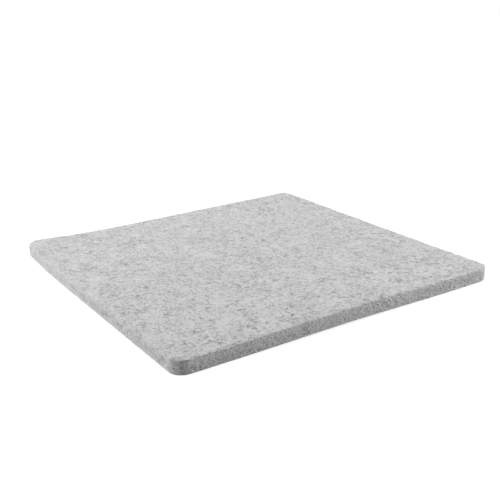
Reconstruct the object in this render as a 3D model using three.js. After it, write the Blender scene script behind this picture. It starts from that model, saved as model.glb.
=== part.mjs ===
// Ironing mat of wool felt: a square slab needled together from a stack of carded wool batts, then cut to size.
// Millimetres, +Z up. The origin is the middle of the underside, on the table that the mat lies on.

import * as THREE from 'three';

// Plan of the mat, as it is cut from the felt.
const matWidth = 305; // along X
const matDepth = 305; // along Y
const cornerRadius = 12;

// Thickness of each batt, once it is needled into a ply of the felt.
const backPlyThickness = 2.5;
const corePlyThickness = 2.5;
const facePlyThickness = 2.5;
const corePlyCount = 3;

// Cut edge of the felt.
const faceArris = 1.2; // rounding between the pressing face and the edge
const backArris = 0.9; // rounding between the underside and the edge
const plyLip = 0.35; // rounding of a ply's edge beside the next ply
const edgeSwell = 0.4; // how far the edge springs out at mid thickness, where the needles hold it least

// Facets of one rounded corner and of one rounding of the edge.
const cornerSteps = 5;
const roundingSteps = 3;

// Colour of the heathered grey wool, which is the same through the felt.
const woolColour = 0xc7c7c7;
const woolRoughness = 0.95;

const matThickness = backPlyThickness + corePlyCount * corePlyThickness + facePlyThickness;

// Plan of the felt at one height, counterclockwise: the square with rounded corners, moved in from its widest line.
function planLine(inset) {
  const right = matWidth / 2 - cornerRadius;
  const back = matDepth / 2 - cornerRadius;
  const radius = cornerRadius - inset;
  const quarter = Math.PI / 2;
  const line = new THREE.Shape();
  line.absarc(right, back, radius, 0, quarter);
  line.absarc(-right, back, radius, quarter, 2 * quarter);
  line.absarc(-right, -back, radius, 2 * quarter, 3 * quarter);
  line.absarc(right, -back, radius, 3 * quarter, 4 * quarter);
  return line.getPoints(cornerSteps);
}

// How far the swollen edge of the whole stack lies in from its widest line at a height above the table.
function swellInset(stackHeight) {
  const fromMiddle = 2 * stackHeight / matThickness - 1;
  return edgeSwell * fromMiddle ** 2;
}

// Edge profile of one ply from its lower face to its upper face: a rounding, the middle of the ply, a rounding.
function plyProfile(ply, seatHeight) {
  const lower = Math.min(ply.lowerRounding, ply.thickness / 2);
  const upper = Math.min(ply.upperRounding, ply.thickness - lower);
  const profile = [];
  for (let step = 0; step <= roundingSteps; step += 1) {
    const angle = step / roundingSteps * Math.PI / 2;
    profile.push({ height: lower * (1 - Math.cos(angle)), inset: lower * (1 - Math.sin(angle)) });
  }
  if (lower + upper < ply.thickness) {
    profile.push({ height: (lower + ply.thickness - upper) / 2, inset: 0 });
    profile.push({ height: ply.thickness - upper, inset: 0 });
  }
  for (let step = 1; step <= roundingSteps; step += 1) {
    const angle = step / roundingSteps * Math.PI / 2;
    profile.push({
      height: ply.thickness - upper * (1 - Math.sin(angle)),
      inset: upper * (1 - Math.cos(angle)),
    });
  }
  return profile.map(({ height, inset }) => ({ height, inset: inset + swellInset(seatHeight + height) }));
}

// One closed ply, lofted through the plan lines of its edge profile, with a flat face below and above.
function plyGeometry(profile) {
  const positions = [];
  const triangles = [];
  profile.forEach(({ height, inset }) => {
    planLine(inset).forEach((point) => positions.push(point.x, point.y, height));
  });
  const around = planLine(0).length;
  for (let row = 0; row < profile.length - 1; row += 1) {
    for (let column = 0; column < around; column += 1) {
      const here = row * around + column;
      const beside = row * around + (column + 1) % around;
      triangles.push(here, beside, beside + around);
      triangles.push(here, beside + around, here + around);
    }
  }
  const upperFace = (profile.length - 1) * around;
  THREE.ShapeUtils.triangulateShape(planLine(0), []).forEach(([a, b, c]) => {
    triangles.push(c, b, a);
    triangles.push(upperFace + a, upperFace + b, upperFace + c);
  });
  const geometry = new THREE.BufferGeometry();
  geometry.setAttribute('position', new THREE.Float32BufferAttribute(positions, 3));
  geometry.setIndex(triangles);
  geometry.computeVertexNormals();
  return geometry;
}

// The stack from the table up.
const plies = [];
plies.push({
  name: 'back_ply',
  thickness: backPlyThickness,
  lowerRounding: backArris,
  upperRounding: plyLip,
});
for (let count = 1; count <= corePlyCount; count += 1) {
  plies.push({
    name: `core_ply_${count}`,
    thickness: corePlyThickness,
    lowerRounding: plyLip,
    upperRounding: plyLip,
  });
}
plies.push({
  name: 'face_ply',
  thickness: facePlyThickness,
  lowerRounding: plyLip,
  upperRounding: faceArris,
});

// Each ply lies face to face on the one below it. A mesh stores 32-bit heights, so the next seat takes that height.
const ironingMat = new THREE.Group();
ironingMat.name = 'ironing_mat';
let seatHeight = 0;
plies.forEach((ply) => {
  const wool = new THREE.MeshStandardMaterial({ color: woolColour, roughness: woolRoughness, metalness: 0 });
  const mesh = new THREE.Mesh(plyGeometry(plyProfile(ply, seatHeight)), wool);
  mesh.name = ply.name;
  mesh.position.z = seatHeight;
  ironingMat.add(mesh);
  seatHeight += Math.fround(ply.thickness);
});

export default ironingMat;
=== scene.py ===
import math

import bpy
import numpy as np
from mathutils import Matrix, Vector


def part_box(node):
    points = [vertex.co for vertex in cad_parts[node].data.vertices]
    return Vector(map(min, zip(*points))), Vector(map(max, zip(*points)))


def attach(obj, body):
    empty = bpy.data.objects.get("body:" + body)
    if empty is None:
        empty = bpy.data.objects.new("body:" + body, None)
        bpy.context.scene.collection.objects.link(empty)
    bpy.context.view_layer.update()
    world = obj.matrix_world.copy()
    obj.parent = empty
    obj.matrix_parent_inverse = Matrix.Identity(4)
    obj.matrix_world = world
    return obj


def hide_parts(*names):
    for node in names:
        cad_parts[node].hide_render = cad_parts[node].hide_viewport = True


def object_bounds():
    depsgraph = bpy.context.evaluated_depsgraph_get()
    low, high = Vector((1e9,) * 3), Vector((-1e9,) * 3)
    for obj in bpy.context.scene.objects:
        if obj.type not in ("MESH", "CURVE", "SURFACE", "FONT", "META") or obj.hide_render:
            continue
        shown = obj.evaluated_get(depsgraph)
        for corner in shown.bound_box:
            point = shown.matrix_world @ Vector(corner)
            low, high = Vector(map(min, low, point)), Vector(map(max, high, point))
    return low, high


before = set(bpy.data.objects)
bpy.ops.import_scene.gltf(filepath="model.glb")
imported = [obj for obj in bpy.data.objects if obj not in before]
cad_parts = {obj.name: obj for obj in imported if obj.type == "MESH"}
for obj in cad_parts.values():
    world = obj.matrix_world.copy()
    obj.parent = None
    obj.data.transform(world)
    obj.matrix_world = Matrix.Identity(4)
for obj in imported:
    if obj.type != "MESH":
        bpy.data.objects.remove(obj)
cad_low, cad_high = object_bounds()

# Camera: not a piece of the mat. A lens of about 61 mm on a 36 mm sensor, 0.77 m from the middle of the mat.
# It looks down at 19.5 degrees on the near corner, where the +X and -Y sides meet, 1.7 degrees out of level.
MM = 0.001
camera_place = Vector((612.3, -379.5, 271.5)) * MM
camera_azimuth = math.radians(57.824)
camera_elevation = math.radians(19.46)
camera_roll = math.radians(1.715)

lens = bpy.data.cameras.new("photo_camera")
lens.lens = 60.76
lens.sensor_width = 36.0
lens.clip_end = 100.0
camera = bpy.data.objects.new("photo_camera", lens)
camera.matrix_world = (
    Matrix.Translation(camera_place)
    @ Matrix.Rotation(camera_azimuth, 4, "Z")
    @ Matrix.Rotation(math.radians(90) - camera_elevation, 4, "X")
    @ Matrix.Rotation(-camera_roll, 4, "Z")
)
bpy.context.scene.collection.objects.link(camera)
bpy.context.scene.camera = camera
bpy.context.scene.view_settings.view_transform = "Standard"

# Back ply: the batt on the table, of carded grey wool, needled to the batts above it and cut with them. Its
# underside is pressed nearly flat, and its lower edge is softened. The mat's plan, its lie on the table and
# its felt are set here too, because this ply is the first to need them.
half_side = (cad_high.x - cad_low.x) / 2
mat_thickness = cad_high.z - cad_low.z
corner_radius = 12 * MM
perimeter = 8 * (half_side - corner_radius) + 2 * math.pi * corner_radius
edge_swell = 0.15 * MM
back_arris = 0.9 * MM
seam_lip = 0.16 * MM
edge_columns = 2048
edge_row_height = 0.4 * MM
seen_face_columns = 256
hidden_face_columns = 64
edge_seed = 40
back_seed = 11


def lumps(across, along, spacing, seed, wrap=256):
    """Smooth random hills and hollows from about -1 to 1, one to each spacing.
    Across, they repeat after wrap of them."""
    rows = 256
    full_height = 1.5
    turns = np.random.default_rng(seed).uniform(0, 2 * np.pi, (wrap, rows))
    column = np.floor(across / spacing).astype(int)
    row = np.floor(along / spacing).astype(int)
    height = 0
    for step_across in (0, 1):
        for step_along in (0, 1):
            turn = turns[(column + step_across) % wrap, (row + step_along) % rows]
            gap_across = across / spacing - column - step_across
            gap_along = along / spacing - row - step_along
            hill = np.cos(turn) * gap_across + np.sin(turn) * gap_along
            for gap in (gap_across, gap_along):
                near = 1 - np.abs(gap)
                hill = hill * near**3 * (near * (6 * near - 15) + 10)
            height = height + hill
    return full_height * height


def table_lift(x, y):
    """How far the mat stands off the table: a hump in its +X side, and two corners that curl a little."""
    hump_rise, hump_middle, hump_spread = 1.5 * MM, 7 * MM, 78 * MM
    left_rise, right_rise = 3.25 * MM, 0.75 * MM
    reach_in = 49 * MM
    hump = hump_rise * np.exp(-(((y - hump_middle) / hump_spread) ** 2) - ((half_side - x) / reach_in) ** 2)
    left = left_rise * np.exp(-((x + half_side) ** 2 + (y + half_side) ** 2) / reach_in**2)
    right = right_rise * np.exp(-((x - half_side) ** 2 + (y - half_side) ** 2) / reach_in**2)
    return hump + left + right


def inside_border(x, y):
    """How far plan places lie inside the border of the mat, up to the radius of its corners."""
    inner = half_side - corner_radius
    over_x = np.clip(np.abs(x) - inner, 0, None)
    over_y = np.clip(np.abs(y) - inner, 0, None)
    return corner_radius - np.hypot(over_x, over_y)


def border_droop(x, y, seed):
    """How far the border of the pressing face droops.
    The cutter has pressed it down, and pulled its rim tuft by tuft."""
    press, press_reach = 0.4 * MM, 6 * MM
    pull, pull_reach = 0.55 * MM, 1 * MM
    tuft, lock = 5.2 * MM, 2.6 * MM
    inside = np.clip(inside_border(x, y), 0, None)
    tug = 0.8 + 0.7 * lumps(x, y, tuft, seed + 3) + 0.9 * lumps(x, y, lock, seed + 4)
    pulled = pull * np.clip(tug, 0, 2) * np.exp(-((inside / pull_reach) ** 2))
    return press * np.exp(-inside / press_reach) + pulled


def face_relief(x, y, seed):
    """Hills and hollows of a felt face: broad ones from the carding, and finer ones from the matted tufts."""
    spacings_and_depths_mm = ((13, 0.12), (4.6, 0.10), (2.4, 0.07))
    relief = 0
    for spacing, depth in spacings_and_depths_mm:
        relief = relief + depth * MM * lumps(x, y, spacing * MM, seed)
        seed += 1
    return relief


def edge_relief(way, height):
    """How far the cut edge stands out or in, at a way round the mat and a height.
    Its smaller tufts are lower than they are long, because the wool lies flat in the batts."""
    lengths_depths_mm_and_shapes = ((14, 0.18, 1), (4.7, 0.17, 0.7), (2.1, 0.28, 0.6), (1.3, 0.23, 0.6))
    seed = edge_seed
    relief = 0
    for length, depth, shape in lengths_depths_mm_and_shapes:
        count = round(perimeter / (length * MM))
        relief = relief + depth * MM * lumps(way * count, height / (length * shape * MM), 1.0, seed, count)
        seed += 1
    return relief


def square_walk(way):
    """Places round the border of a square that runs from -1 to 1, from a way of 0 to 1 round it."""
    side = np.floor(4 * way).astype(int) % 4
    step = 2 * (4 * way - np.floor(4 * way)) - 1
    one = np.ones_like(step)
    u = np.choose(side, [one, -step, -one, step])
    v = np.choose(side, [step, one, -step, -one])
    return u, v


def rounded_plan(u, v, half, radius):
    """Plan places of a square with round corners from grid places u and v, which run from -1 to 1 across it.
    The corners get tighter inwards."""
    tightening = 0.6
    reach = np.maximum(np.abs(u), np.abs(v))
    side = half * reach
    bend = np.clip(radius - tightening * (half - side), 0, None)
    along = np.where(np.abs(u) >= np.abs(v), v, u) / np.maximum(reach, 1e-9)
    straight = side - bend
    way = np.abs(along) * (straight + bend * np.pi / 4)
    turn = np.clip((way - straight) / np.maximum(bend, 1e-9), 0, np.pi / 4)
    out = np.where(way > straight, straight + bend * np.cos(turn), side)
    run = np.where(way > straight, straight + bend * np.sin(turn), way) * np.sign(along)
    x = np.where(np.abs(u) >= np.abs(v), np.sign(u) * out, run)
    y = np.where(np.abs(u) >= np.abs(v), run, np.sign(v) * out)
    return x, y


def cut_edge(way, height, inset, upright=1.0):
    """Plan places on the cut edge: swollen at mid thickness, and roughened where it stands upright."""
    inset = inset + edge_swell * (2 * height / mat_thickness - 1) ** 2
    x, y = rounded_plan(*square_walk(way), half_side - inset, corner_radius - inset)
    inner = half_side - corner_radius
    out_x = x - np.clip(x, -inner, inner)
    out_y = y - np.clip(y, -inner, inner)
    rough = upright * edge_relief(way, height) / np.hypot(out_x, out_y)
    return x + rough * out_x, y + rough * out_y


def edge_strips(rows, strips, low, high):
    """Places on a baked map for the faces of a cut edge, row by row.
    The edge is laid out there in strips, one above another, between two heights of the map."""
    gap = 0.005
    filled = 0.8
    strip_columns = edge_columns // strips
    strip_height = (high - low) / strips
    profile = np.array([(np.mean(height), np.mean(inset)) for height, inset, tilt in rows])
    climb = np.concatenate([[0], np.cumsum(np.hypot(*np.diff(profile, axis=0).T))])
    climb *= filled * strip_height / climb[-1]
    around = np.arange(edge_columns)
    left = gap + (1 - 2 * gap) * (around % strip_columns) / strip_columns
    right = left + (1 - 2 * gap) / strip_columns
    foot = low + strip_height * (around // strip_columns)
    strip_places = []
    for below, here in zip(climb[:-1], climb[1:]):
        quad = [left, foot + below, right, foot + below, right, foot + here, left, foot + here]
        strip_places.append(np.stack(quad, axis=1).ravel())
    return strip_places


def face_square(plan, upper, corner, side):
    """Places on a baked map for a face of a ply: its plan in a square, as it is seen from outside."""
    reach = half_side + 1 * MM
    plan = (plan * (1 if upper else -1, 1) / reach + 1) / 2
    return (plan * side + corner).ravel()


def felt_ply(name, low, high, lower_round, upper_round, seed, seen_below=False, seen_above=False):
    """A closed ply of felt between two heights, with a fibrous cut edge.
    A face that is seen has a fine relief."""
    lip_rows, rim_rows = 4, 6
    way = np.arange(edge_columns) / edge_columns
    bend = upper_round + 0 * way
    crest = high + 0 * way
    if seen_above:
        wear_counts = (130, 290, 560)
        least_round, most_round = 0.2 * upper_round, 2.2 * upper_round
        wear = sum(lumps(way * count, 0 * way, 1.0, seed + count, count) for count in wear_counts)
        bend = np.clip(upper_round * np.exp(2.0 * wear), least_round, most_round)
        crest = high - border_droop(*rounded_plan(*square_walk(way), half_side, corner_radius), seed)

    # Rows of the cut edge from below: each has its height, how far it is set in, and how it is tilted.
    rows = []
    for angle in np.linspace(0, math.pi / 2, lip_rows):
        height = low + lower_round * (1 - math.cos(angle))
        rows.append((height, lower_round * (1 - math.sin(angle)), angle - math.pi / 2))
    foot = low + lower_round
    steps = max(1, round((high - upper_round - foot) / edge_row_height))
    for step in range(1, steps):
        rows.append((foot + (crest - bend - foot) * step / steps, 0.0, 0.0))
    for angle in np.linspace(0, math.pi / 2, rim_rows if seen_above else lip_rows):
        rows.append((crest - bend * (1 - math.sin(angle)), bend * (1 - math.cos(angle)), angle))

    def face_height(height, x, y, upper, share=1.0):
        """The height of places on a face or the edge, with a share of the face's relief and the mat's lie."""
        clear_of_table = 0.1 * MM
        pressed_flat = 0.3
        relief = 0
        if upper and seen_above:
            relief = face_relief(x, y, seed)
        if not upper and seen_below:
            relief = clear_of_table + pressed_flat * face_relief(x, y, seed)
        return height + share * relief + table_lift(x, y)

    places = []
    faces = []
    around = np.arange(edge_columns)
    beside = (around + 1) % edge_columns
    for row, (height, inset, tilt) in enumerate(rows):
        rounds_into_view = seen_above if tilt > 0 else seen_below
        x, y = cut_edge(way, height + 0 * way, inset, math.cos(tilt) if rounds_into_view else 1.0)
        places.append(np.stack([x, y, face_height(height, x, y, tilt > 0, abs(math.sin(tilt)))], axis=1))
        if row:
            below, here = (row - 1) * edge_columns, row * edge_columns
            faces += np.stack([below + around, below + beside, here + beside, here + around], axis=1).tolist()

    # What is seen of a ply gets most of its baked map: a face, or the edge where both faces are hidden.
    seen_corner, seen_side = (0.005, 0.005), 0.93
    if seen_below or seen_above:
        map_places = edge_strips(rows, strips=4, low=0.945, high=0.995)
        hidden_corners, hidden_side = ((0.945, 0.005), (0.945, 0.005)), 0.05
    else:
        map_places = edge_strips(rows, strips=16, low=0.005, high=0.905)
        hidden_corners, hidden_side = ((0.005, 0.915), (0.105, 0.915)), 0.08

    for upper, seen in ((False, seen_below), (True, seen_above)):
        border = (len(rows) - 1) * edge_columns if upper else 0
        inset = rows[-1 if upper else 0][1]
        band = (0.8 if seen else 4) * MM
        margin = np.max(inset) + edge_swell + band
        across = seen_face_columns if seen else hidden_face_columns
        grid = np.linspace(-1, 1, across + 1)
        u, v = (axis.ravel() for axis in np.meshgrid(grid, grid, indexing="ij"))
        x, y = rounded_plan(u, v, half_side - margin, corner_radius - margin)
        index = sum(len(p) for p in places) + np.arange(len(x)).reshape(across + 1, across + 1)
        flat = low
        if upper:
            flat = high - border_droop(x, y, seed) * seen_above
        places.append(np.stack([x, y, face_height(flat, x, y, upper)], axis=1))

        # The grid of the face, and a band of triangles that joins its ring to the finer border of the edge.
        corners = (index[:-1, :-1], index[1:, :-1], index[1:, 1:], index[:-1, 1:])
        cap = np.stack(corners, axis=-1).reshape(-1, 4).tolist()
        ring = np.concatenate([index[-1, :-1], index[:0:-1, -1], index[0, :0:-1], index[:-1, 0]]).tolist()
        fan = edge_columns // len(ring)
        for k, here in enumerate(ring):
            there = ring[(k + 1) % len(ring)]
            fine = [border + (fan * k + j) % edge_columns for j in range(fan + 1)]
            cap += [(here, fine[j], fine[j + 1]) for j in range(fan // 2)]
            cap += [(here, fine[fan // 2], there)]
            cap += [(there, fine[j], fine[j + 1]) for j in range(fan // 2, fan)]
        if not upper:
            cap = [face[::-1] for face in cap]
        faces += cap
        plan = np.concatenate(places)[[corner for face in cap for corner in face], :2]
        corner, side = (seen_corner, seen_side) if seen else (hidden_corners[upper], hidden_side)
        map_places.append(face_square(plan, upper, corner, side))

    mesh = bpy.data.meshes.new(name)
    mesh.from_pydata(np.concatenate(places).tolist(), [], faces)
    mesh.polygons.foreach_set("use_smooth", [True] * len(mesh.polygons))
    mesh.uv_layers.new(name="OFBake").data.foreach_set("uv", np.concatenate(map_places))
    ply = bpy.data.objects.new(name, mesh)
    bpy.context.scene.collection.objects.link(ply)
    return ply


def to_linear(hex_colour):
    """An sRGB hex colour as linear red, green, blue and alpha."""
    shares = [int(hex_colour[i:i + 2], 16) / 255 for i in (1, 3, 5)]
    return [s / 12.92 if s <= 0.04045 else ((s + 0.055) / 1.055) ** 2.4 for s in shares] + [1.0]


def add_node(tree, kind, inputs=(), **settings):
    """Adds a shader node with its settings. Each input gets a value, or a link from another node's output."""
    node = tree.nodes.new("ShaderNode" + kind)
    for name, value in settings.items():
        setattr(node, name, value)
    for name, value in dict(inputs).items():
        if isinstance(value, bpy.types.NodeSocket):
            tree.links.new(value, node.inputs[name])
        else:
            node.inputs[name].default_value = value
    return node


def wool_felt(name, shift):
    """Needled wool felt: matt, heathered from dark, grey and white wool, with matted curly fibres on it.
    Real wool is about 0.03 mm thick; the fibres are drawn several times as thick, so that they show."""
    material = bpy.data.materials.new(name)
    material.use_nodes = True
    tree = material.node_tree
    tree.nodes.clear()
    # The carded wool lies flat in its batts, so the pattern is pressed together along the height.
    pressed = (1, 1, 1.8)
    place = add_node(tree, "TexCoord").outputs["Object"]
    place = add_node(tree, "Mapping", {"Vector": place, "Location": shift, "Scale": pressed}).outputs[0]

    # How squarely the surface faces up or down: 1 on the faces, 0 on the upright cut edge.
    facing = add_node(tree, "SeparateXYZ", {0: add_node(tree, "NewGeometry").outputs["True Normal"]})
    facing = add_node(tree, "Math", {0: facing.outputs["Z"]}, operation="ABSOLUTE").outputs[0]

    # Heather: for each size of tuft in mm, how strongly it lightens or darkens the wool, first on a face and
    # then on the cut edge, and how much it stands up in the nap. A face shows cloudy patches and small locks.
    # The edge shows its fibres end on, so its colour is more even. It is also painted a little darker:
    # painted shade for the light that the fibre ends trap.
    edge_tone_with_painted_shade, face_shade = 0.50, 0.58
    tufts = (
        (16, 0.45, 0.06, 0.0),
        (5.5, 0.55, 0.08, 0.0),
        (2.5, 0.95, 0.08, 0.5),
        (1.2, 0.65, 0.25, 1.0),
        (0.6, 0.3, 0.3, 0.5),
    )
    # On the cut edge the wool starts darker, which is painted shade.
    shade = add_node(tree, "MapRange", {"Value": facing, "To Min": edge_tone_with_painted_shade, "To Max": face_shade})
    shade = shade.outputs[0]
    nap = 0.5
    for size_mm, face_weight, edge_weight, stand in tufts:
        tuft = add_node(tree, "TexNoise", {
            "Vector": place,
            "Scale": 1 / (size_mm * MM),
            "Detail": 2.0,
            "Roughness": 0.6,
        })
        tuft = add_node(tree, "Math", {0: tuft.outputs["Fac"], 1: 0.5}, operation="SUBTRACT").outputs[0]
        weight = add_node(tree, "MapRange", {"Value": facing, "To Min": edge_weight, "To Max": face_weight})
        shade = add_node(tree, "Math", {0: tuft, 1: weight.outputs[0], 2: shade}, operation="MULTIPLY_ADD")
        shade = shade.outputs[0]
        nap = add_node(tree, "Math", {0: tuft, 1: stand, 2: nap}, operation="MULTIPLY_ADD").outputs[0]

    # Single fibres: winding lines, broken up into short stretches and fainter on the edge. Each kind has the
    # size of its curl in mm, its width as a share of the pattern, and how much it lightens or darkens.
    curls = (
        (1.7, 0.04, 0.16),
        (1.3, 0.04, -0.22),
        (3.1, 0.03, 0.14),
        (2.3, 0.025, 0.14),
        (3.7, 0.03, -0.32),
        (2.6, 0.025, -0.28),
    )
    on_the_edge = 0.3
    stretch_length = 1.7
    for curl_mm, width, strength in curls:
        curl = add_node(tree, "TexNoise", {
            "Vector": place,
            "Scale": 1 / (curl_mm * MM),
            "Detail": 1.5,
            "Distortion": 0.6,
        })
        line = add_node(tree, "Math", {0: curl.outputs["Fac"], 1: 0.5}, operation="SUBTRACT")
        line = add_node(tree, "Math", {0: line.outputs[0]}, operation="ABSOLUTE")
        line = add_node(tree, "MapRange", {
            "Value": line.outputs[0],
            "From Max": width,
            "To Min": 1.0,
            "To Max": 0.0,
        })
        stretch = add_node(tree, "TexNoise", {
            "Vector": place,
            "Scale": 1 / (stretch_length * curl_mm * MM),
            "Detail": 1.0,
        })
        stretch = add_node(tree, "MapRange", {
            "Value": stretch.outputs["Fac"],
            "From Min": 0.48,
            "From Max": 0.56,
        })
        line = add_node(tree, "Math", {0: line.outputs[0], 1: stretch.outputs[0]}, operation="MULTIPLY")
        line = line.outputs[0]
        weight = add_node(tree, "MapRange", {
            "Value": facing,
            "To Min": on_the_edge * strength,
            "To Max": strength,
        })
        shade = add_node(tree, "Math", {0: line, 1: weight.outputs[0], 2: shade}, operation="MULTIPLY_ADD")
        shade = shade.outputs[0]
        nap = add_node(tree, "Math", {0: line, 1: 0.5, 2: nap}, operation="MULTIPLY_ADD").outputs[0]

    wool = add_node(tree, "ValToRGB", {"Fac": shade})
    ramp = wool.color_ramp
    ramp.elements[0].position = 0.0
    ramp.elements[0].color = to_linear("#5c5c5c")
    ramp.elements[1].position = 1.0
    ramp.elements[1].color = to_linear("#e2e2e2")
    ramp.elements.new(0.5).color = to_linear("#c7c7c7")

    # A face has a low nap. The cut edge has taller nubs, where the ends of the wool stand out of it.
    nub_mm = 1.9
    nub_height, nap_height = 1.4 * MM, 0.2 * MM
    nub = add_node(tree, "TexNoise", {"Vector": place, "Scale": 1 / (nub_mm * MM), "Detail": 1.0})
    reach = add_node(tree, "MapRange", {"Value": facing, "To Min": nub_height, "To Max": 0.0})
    height = add_node(tree, "Math", {0: nub.outputs["Fac"], 1: reach.outputs[0]}, operation="MULTIPLY")
    height = height.outputs[0]
    reach = add_node(tree, "MapRange", {"Value": facing, "To Min": 0.0, "To Max": nap_height})
    height = add_node(tree, "Math", {0: nap, 1: reach.outputs[0], 2: height}, operation="MULTIPLY_ADD")
    height = height.outputs[0]
    bump = add_node(tree, "Bump", {"Strength": 0.7, "Distance": 1.0, "Height": height})
    matt = add_node(tree, "MapRange", {
        "Value": nap,
        "From Min": 0.2,
        "From Max": 1.2,
        "To Min": 1.0,
        "To Max": 0.82,
    })
    shader = add_node(tree, "BsdfPrincipled", {
        "Base Color": wool.outputs["Color"],
        "Roughness": matt.outputs[0],
        "Normal": bump.outputs[0],
        "Sheen Weight": 0.12,
        "Sheen Roughness": 0.6,
        "IOR": 1.54,
        "Specular IOR Level": 0.25,
    })
    add_node(tree, "OutputMaterial", {"Surface": shader.outputs[0]})
    return material


back_low, back_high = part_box("back_ply")
felt_back = felt_ply("felt_back", back_low.z, back_high.z, back_arris, seam_lip, back_seed, seen_below=True)
felt_back.data.materials.append(wool_felt("wool_felt_back", (0.31, 0.17, 0.0)))
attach(felt_back, "root")
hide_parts("back_ply")

# Core plies: three like batts between the back and the face, of the same wool. Only their cut edges show, as
# strata that the needles have pulled so close together that their seams can hardly be made out.
core_seed = 20
for number in (1, 2, 3):
    core_low, core_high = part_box(f"core_ply_{number}")
    felt_core = felt_ply(f"felt_core_{number}", core_low.z, core_high.z, seam_lip, seam_lip,
                         core_seed + number)
    felt_core.data.materials.append(wool_felt(f"wool_felt_core_{number}", (0.07 * number, 0.13, 0.0)))
    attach(felt_core, "root")
    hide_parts(f"core_ply_{number}")

# Face ply: the top batt, whose upper side is the pressing face. It is the same heathered wool, needled from
# above, with small locks of loose fibre on it. Its upper edge rolls softly over into the cut, a bit raggedly.
face_arris = 0.4 * MM
face_seed = 31
face_low, face_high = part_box("face_ply")
felt_face = felt_ply("felt_face", face_low.z, face_high.z, seam_lip, face_arris, face_seed, seen_above=True)
felt_face.data.materials.append(wool_felt("wool_felt_face", (0.0, 0.0, 0.0)))


def loose_fibres(name, count, low, high, lean, spread, surface, within, seed):
    """Fibres that lie on the felt in soft curls. Each is a closed three-sided tube that dips in at both ends.
    Wool is about 0.03 mm thick, too fine to show, so these are drawn thicker, as small locks."""
    steps, sides = 5, 3
    shortest_mm, longest_mm = 3, 8
    least_radius_mm, most_radius_mm = 0.05, 0.13
    least_arch, most_arch, arch_mm = 0.10, 0.30, 3
    turn_spread, wave_spread = 1.1, 0.6
    dip = 0.12 * MM
    tip = 0.35
    chance = np.random.default_rng(seed)
    start = chance.uniform(low, high, (count, 2))
    length = chance.uniform(shortest_mm, longest_mm, (count, 1)) * MM
    radius = chance.uniform(least_radius_mm, most_radius_mm, (count, 1)) * MM
    rise = chance.uniform(least_arch, most_arch, (count, 1)) ** 2 * arch_mm * MM
    along = np.linspace(0, 1, steps + 1)
    heading = chance.normal(lean, spread, (count, 1)) + chance.normal(0, turn_spread, (count, 1)) * along
    heading = heading + chance.normal(0, wave_spread, (count, 1)) * np.sin(2 * np.pi * along)
    across = start[:, :1] + np.cumsum(np.cos(heading), axis=1) * length / steps
    upward = start[:, 1:] + np.cumsum(np.sin(heading), axis=1) * length / steps
    kept = within(across, upward).all(axis=1)
    across, upward, rise, radius = across[kept], upward[kept], rise[kept], radius[kept]

    lie = rise * np.sin(np.pi * along) - dip * (2 * along - 1) ** 4
    middle = surface(across, upward, lie)
    outward = surface(across, upward, lie + MM) - middle
    forward = np.gradient(middle, axis=1)
    sideways = np.cross(forward, outward)
    sideways /= np.linalg.norm(sideways, axis=2, keepdims=True)
    outward = np.cross(sideways, forward)
    outward /= np.linalg.norm(outward, axis=2, keepdims=True)
    thick = (radius * (tip + (1 - tip) * np.sin(np.pi * along)))[:, :, None]
    turns = 2 * np.pi * np.arange(sides) / sides + np.pi / 2
    places = np.stack([middle + thick * (np.cos(t) * sideways + np.sin(t) * outward) for t in turns], axis=2)

    index = np.arange(places.size // 3).reshape(len(across), steps + 1, sides)
    beside = np.roll(index, -1, axis=2)
    walls = np.stack([index[:, :-1], index[:, 1:], beside[:, 1:], beside[:, :-1]], axis=-1).reshape(-1, 4)
    faces = walls.tolist() + index[:, 0].tolist() + index[:, -1, ::-1].tolist()
    mesh = bpy.data.meshes.new(name)
    mesh.from_pydata(places.reshape(-1, 3).tolist(), [], faces)
    mesh.polygons.foreach_set("use_smooth", [True] * len(mesh.polygons))

    # For a baked map each fibre has its own cell of a square grid, with a row to each side and a column to
    # each step. The last column holds the two ends.
    near, far = 0.1, 0.9
    grid = math.ceil(math.sqrt(len(across)))
    cell = np.stack([np.arange(len(across)) % grid, np.arange(len(across)) // grid], axis=1)[:, None, None, :]
    step, side = np.meshgrid(np.arange(steps), np.arange(sides), indexing="ij")
    first = np.stack([step, side], axis=2).reshape(1, -1, 1, 2)
    last = np.array([[steps, 0], [steps, 1]])[None, :, None, :]
    size = np.array([steps + 1, sides])
    wall_map = first + np.array([(near, near), (far, near), (far, far), (near, far)])
    wall_map = (cell + wall_map / size) / grid
    end_map = last + np.array([(near, near), (far, near), (far, far)])
    end_map = (cell + end_map / size) / grid
    map_places = np.concatenate([wall_map.reshape(-1), end_map[:, 0].reshape(-1), end_map[:, 1].reshape(-1)])
    mesh.uv_layers.new(name="OFBake").data.foreach_set("uv", map_places)
    fuzz = bpy.data.objects.new(name, mesh)
    bpy.context.scene.collection.objects.link(fuzz)
    return fuzz


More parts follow.
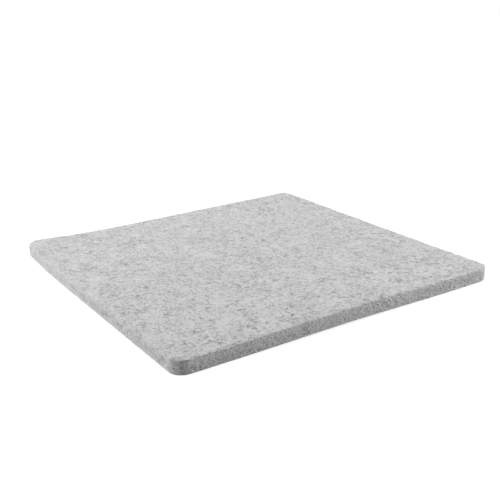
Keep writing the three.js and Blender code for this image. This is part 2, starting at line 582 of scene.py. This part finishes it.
def wool_fibre(name, darkest, dark, white):
    """Loose wool: each fibre is dark, grey or white, as it was dyed before carding, and matt on its scales.
    The scales of real wool are about 0.01 mm long, too fine to show, so they are drawn coarser."""
    scales_mm = 0.4
    scale_height = 0.02 * MM
    material = bpy.data.materials.new(name)
    material.use_nodes = True
    tree = material.node_tree
    tree.nodes.clear()
    dye = add_node(tree, "ValToRGB", {"Fac": add_node(tree, "NewGeometry").outputs["Random Per Island"]})
    ramp = dye.color_ramp
    ramp.elements[0].position = 0.0
    ramp.elements[0].color = to_linear(darkest)
    ramp.elements[1].position = 1.0
    ramp.elements[1].color = to_linear(white)
    ramp.elements.new(0.25).color = to_linear(dark)
    ramp.elements.new(0.45).color = to_linear("#cacaca")
    place = add_node(tree, "TexCoord").outputs["Object"]
    scales = add_node(tree, "TexNoise", {"Vector": place, "Scale": 1 / (scales_mm * MM), "Detail": 1.0})
    scales = scales.outputs["Fac"]
    matt = add_node(tree, "MapRange", {"Value": scales, "To Min": 0.75, "To Max": 1.0})
    bump = add_node(tree, "Bump", {"Strength": 0.3, "Distance": scale_height, "Height": scales})
    shader = add_node(tree, "BsdfPrincipled", {
        "Base Color": dye.outputs["Color"],
        "Roughness": matt.outputs[0],
        "Normal": bump.outputs[0],
        "IOR": 1.54,
        "Specular IOR Level": 0.25,
    })
    add_node(tree, "OutputMaterial", {"Surface": shader.outputs[0]})
    return material


def on_face(x, y, lie):
    """Places a little above the pressing face."""
    height = face_high.z - border_droop(x, y, face_seed) + face_relief(x, y, face_seed)
    height = height + table_lift(x, y) + lie
    return np.stack([x, y, height], axis=-1)


def inside_plan(x, y):
    """Whether plan places lie on the pressing face, clear of its rounded border."""
    return inside_border(x, y) > 1 * MM


face_fibres = 6000
any_way = 9.0
face_fuzz_seed = 51
corner = (half_side, half_side)
face_fuzz = loose_fibres("face_fuzz", face_fibres, np.negative(corner), corner, 0.0, any_way,
                         on_face, inside_plan, face_fuzz_seed)
face_fuzz.data.materials.append(wool_fibre("wool_fibre_face", "#6c6c6c", "#929292", "#f2f2f2"))
for piece in (felt_face, face_fuzz):
    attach(piece, "root")
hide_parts("face_ply")

# Edge fuzz: the loose ends of wool that the cutter and the needles leave standing round the cut edge, most of
# them upright across the plies. They are the same dyed fibres, held by the felt that they grow out of.
edge_fibres = 2000
upright_way, mostly_upright = math.pi / 2, 0.8
edge_fuzz_seed = 52
edge_low, edge_high = 1.2 * MM, mat_thickness - 1.2 * MM


def on_edge(run, height, lie):
    """Places a little outside the cut edge, at a run round it in metres and a height."""
    x, y = cut_edge((run / perimeter) % 1, height, -lie)
    return np.stack([x, y, height + table_lift(x, y)], axis=-1)


def inside_edge(run, height):
    """Whether places on the cut edge are clear of its rounded borders."""
    return (height > edge_low) & (height < edge_high)


edge_fuzz = loose_fibres("edge_fuzz", edge_fibres, (0, edge_low), (perimeter, edge_high),
                         upright_way, mostly_upright, on_edge, inside_edge, edge_fuzz_seed)
edge_fuzz.data.materials.append(wool_fibre("wool_fibre_edge", "#989898", "#b0b0b0", "#e4e4e4"))
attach(edge_fuzz, "root")

# Studio floor: not part of the mat. It is pale seamless paper under the mat, which shows white to the camera
# and keeps the mat's soft shadow.
floor_reach = 15.0
floor_corners = [(-1, -1), (1, -1), (1, 1), (-1, 1)]
glow_reach = 3 * half_side
glow_at_mat, glow_far_off = 0.78, 1.0
floor_mesh = bpy.data.meshes.new("studio_floor")
floor_mesh.from_pydata([(floor_reach * x, floor_reach * y, 0) for x, y in floor_corners], [], [(0, 1, 2, 3)])
studio_floor = bpy.data.objects.new("studio_floor", floor_mesh)
bpy.context.scene.collection.objects.link(studio_floor)
paper = bpy.data.materials.new("seamless_paper")
paper.use_nodes = True
tree = paper.node_tree
tree.nodes.clear()
rays = add_node(tree, "LightPath").outputs
shows = add_node(tree, "Math", {0: rays["Is Camera Ray"], 1: rays["Is Glossy Ray"]}, operation="MAXIMUM")
shows = add_node(tree, "Math", {0: shows.outputs[0], 1: rays["Is Transmission Ray"]}, operation="MAXIMUM")
ground = add_node(tree, "TexCoord").outputs["Object"]
away = add_node(tree, "VectorMath", {0: ground}, operation="LENGTH").outputs["Value"]
white = add_node(tree, "MapRange", {
    "Value": away,
    "From Min": half_side,
    "From Max": glow_reach,
    "To Min": glow_at_mat,
    "To Max": glow_far_off,
})
lit = add_node(tree, "BsdfDiffuse", {"Color": to_linear("#e6e6e6")})
shaded = add_node(tree, "BsdfDiffuse", {"Color": to_linear("#b4b4b4")})
glow = add_node(tree, "Emission", {"Color": to_linear("#ffffff"), "Strength": white.outputs[0]})
shown = add_node(tree, "AddShader", {0: shaded.outputs[0], 1: glow.outputs[0]})
mixed = add_node(tree, "MixShader", {0: shows.outputs[0], 1: lit.outputs[0], 2: shown.outputs[0]})
add_node(tree, "OutputMaterial", {"Surface": mixed.outputs[0]})
floor_mesh.materials.append(paper)


# Studio light: not part of the mat. Two low soft boxes stand to its left and right, and one hangs over its
# left side. The room is dim, so that the near corner is the darkest place.
def soft_box(name, place, width, height, watts):
    """A soft box that faces the middle of the mat."""
    lamp = bpy.data.lights.new(name, "AREA")
    lamp.shape = "RECTANGLE"
    lamp.size = width
    lamp.size_y = height
    lamp.energy = watts
    holder = bpy.data.objects.new(name, lamp)
    holder.location = place
    holder.rotation_mode = "QUATERNION"
    holder.rotation_quaternion = (-Vector(place)).to_track_quat("-Z", "Y")
    bpy.context.scene.collection.objects.link(holder)


soft_box("left_light", (-0.687, -1.058, 0.315), 1.2, 0.5, 12.5)
soft_box("right_light", (0.589, 1.02, 0.549), 0.55, 0.55, 13.5)
soft_box("top_light", (-0.60, -0.25, 1.126), 0.7, 0.7, 11.4)
dim, white_to_camera = 0.01, 1.0
room = bpy.data.worlds.new("pale_room")
room.use_nodes = True
tree = room.node_tree
tree.nodes.clear()
rays = add_node(tree, "LightPath").outputs
strength = add_node(tree, "MapRange", {
    "Value": rays["Is Camera Ray"],
    "To Min": dim,
    "To Max": white_to_camera,
})
air = add_node(tree, "Background", {"Color": to_linear("#ffffff"), "Strength": strength.outputs[0]})
add_node(tree, "OutputWorld", {"Surface": air.outputs[0]})
bpy.context.scene.world = room
